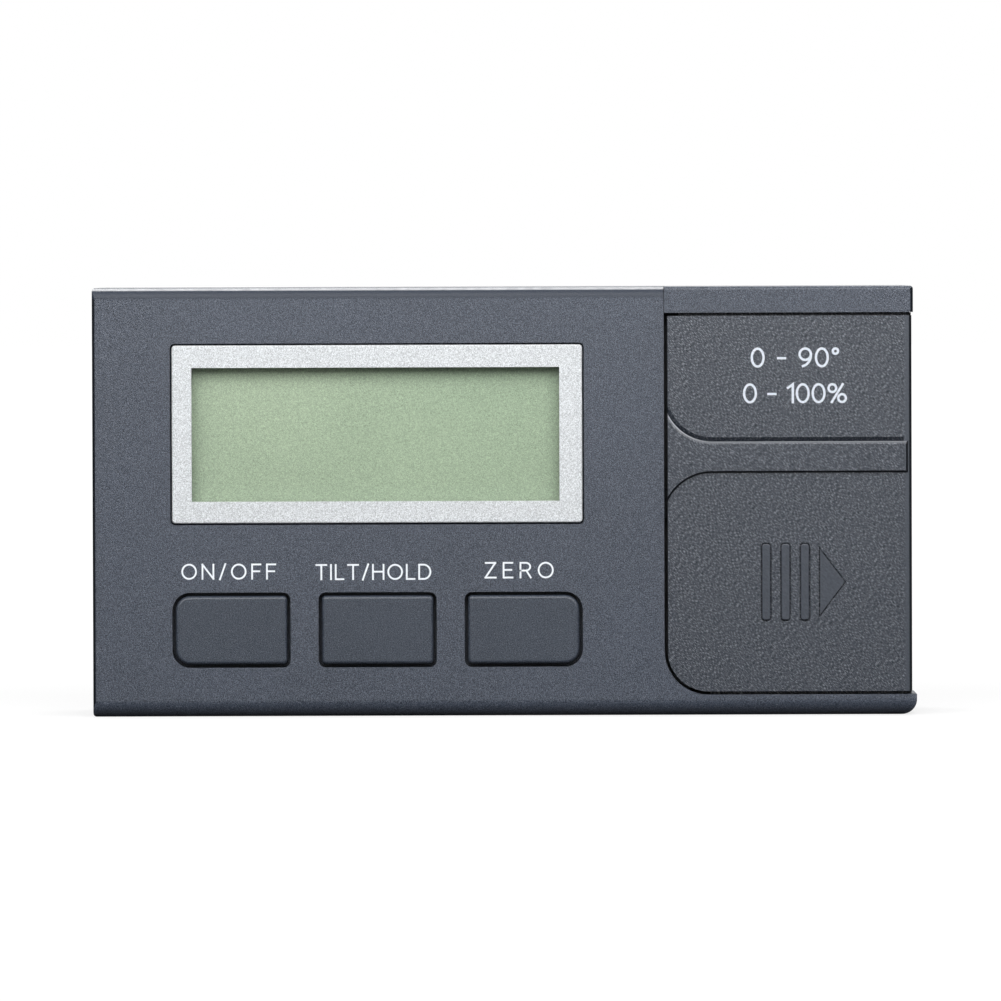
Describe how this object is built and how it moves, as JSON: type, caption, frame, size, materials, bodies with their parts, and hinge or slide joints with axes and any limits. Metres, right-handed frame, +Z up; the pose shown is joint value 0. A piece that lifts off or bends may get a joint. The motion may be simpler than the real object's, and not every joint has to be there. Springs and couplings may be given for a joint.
{
  "type": "digital angle gauge",
  "caption": "Small box-shaped digital level that stands on its long edge, with a framed display, push keys and a sliding battery cover.",
  "frame": {"origin": "centre of the base at floor height", "axes": "+X right along the length, the front faces -Y, +Z up from the base"},
  "size_m": [0.106, 0.026, 0.0552],
  "materials": {
    "shell": "grey moulded plastic, fine matt grain",
    "cover": "grey moulded plastic, coarse leather grain",
    "key": "grey moulded plastic, satin",
    "bezel": "silver paint, satin",
    "lens": "clear moulded lens",
    "lcd": "grey-green reflective display",
    "white_plastic": "white moulded plastic",
    "zebra": "striped conducting rubber",
    "board": "green lacquered board",
    "chip": "black moulded resin",
    "tin": "tinned steel",
    "capacitor": "dark blue sleeve",
    "black_plastic": "black moulded plastic",
    "cell": "printed steel can",
    "contact": "nickel-plated steel",
    "lead": "red insulated wire",
    "magnet": "nickel-plated magnet",
    "screw": "plated steel"
  },
  "bodies": {
    "case": {"front_shell": "shell", "rear_shell": "shell", "display_bezel": "bezel", "display_window": "lens", "lcd_panel": "lcd", "lcd_frame": "white_plastic", "zebra_strips": "zebra", "circuit_board": "board", "controller_chip": "chip", "tilt_sensor": "chip", "crystal_can": "tin", "capacitors": "capacitor", "switch_housings": "tin", "battery_tray": "black_plastic", "cell_left": "cell", "cell_right": "cell", "contact_springs": "contact", "contact_plates": "contact", "battery_leads": "lead", "base_magnets": "magnet", "case_screws": "screw", "board_screws": "screw"},
    "cover": {"battery_cover": "cover"},
    "key_power_body": {"key_power": "key", "plunger_power": "black_plastic"},
    "key_hold_body": {"key_hold": "key", "plunger_hold": "black_plastic"},
    "key_zero_body": {"key_zero": "key", "plunger_zero": "black_plastic"}
  },
  "joints": [
    {"name": "cover_slide", "type": "slide", "parent": "case", "child": "cover", "axis": [1, 0, 0], "range_m": [0, 0.034]},
    {"name": "key_power_press", "type": "slide", "parent": "case", "child": "key_power_body", "axis": [0, 1, 0], "range_m": [0, 0.0006], "stiffness_N_per_m": 1500, "springref_m": -0.0004},
    {"name": "key_hold_press", "type": "slide", "parent": "case", "child": "key_hold_body", "axis": [0, 1, 0], "range_m": [0, 0.0006], "stiffness_N_per_m": 1500, "springref_m": -0.0004},
    {"name": "key_zero_press", "type": "slide", "parent": "case", "child": "key_zero_body", "axis": [0, 1, 0], "range_m": [0, 0.0006], "stiffness_N_per_m": 1500, "springref_m": -0.0004}
  ]
}
